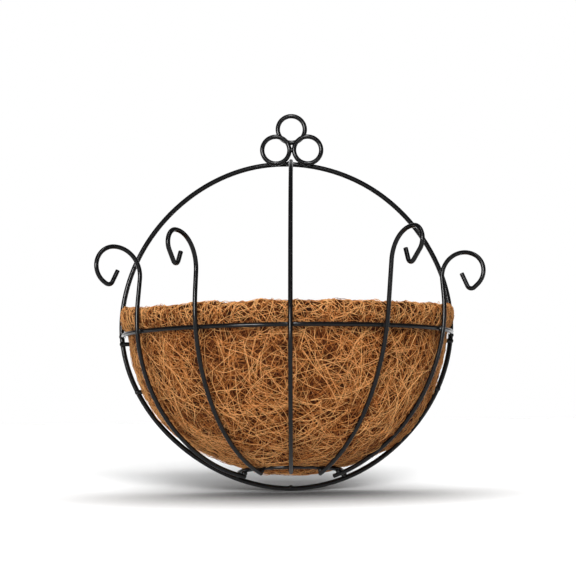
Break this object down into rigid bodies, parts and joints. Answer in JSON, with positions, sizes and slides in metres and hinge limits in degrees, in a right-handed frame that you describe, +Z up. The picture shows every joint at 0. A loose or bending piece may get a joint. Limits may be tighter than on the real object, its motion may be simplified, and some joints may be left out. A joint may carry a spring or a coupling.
{
  "type": "wall planter",
  "caption": "Half-round wall-hung basket of black coated wire with scrolled ribs, a ring finial to hang it by and a golden coir fibre liner.",
  "frame": {"origin": "the hanging point: the inner crown of the top finial ring, in the plane of the back hoop", "axes": "+X to the right seen from the front, +Y towards the wall, +Z up; the basket bulges out to -Y"},
  "size_m": [0.3881, 0.2105, 0.4087],
  "materials": {
    "black_wire": "gloss black powder coat over mild steel wire and weld metal",
    "coir": "matt felted coconut fibre, golden brown with paler strands"
  },
  "bodies": {
    "root": {"back_hoop": "black_wire", "front_rim": "black_wire", "foot_ring": "black_wire", "centre_rib": "black_wire", "rib_outer_left": "black_wire", "rib_inner_left": "black_wire", "rib_inner_right": "black_wire", "rib_outer_right": "black_wire", "upper_back_bar": "black_wire", "lower_back_bar": "black_wire", "finial_ring_top": "black_wire", "finial_ring_left": "black_wire", "finial_ring_right": "black_wire", "rim_rib_welds": "black_wire", "foot_rib_welds": "black_wire", "rim_end_welds": "black_wire", "foot_end_welds": "black_wire", "back_bar_welds": "black_wire", "crown_weld": "black_wire", "finial_hoop_welds": "black_wire", "finial_ring_welds": "black_wire", "hoop_seam_weld": "black_wire", "coir_liner": "coir"}
  },
  "joints": []
}
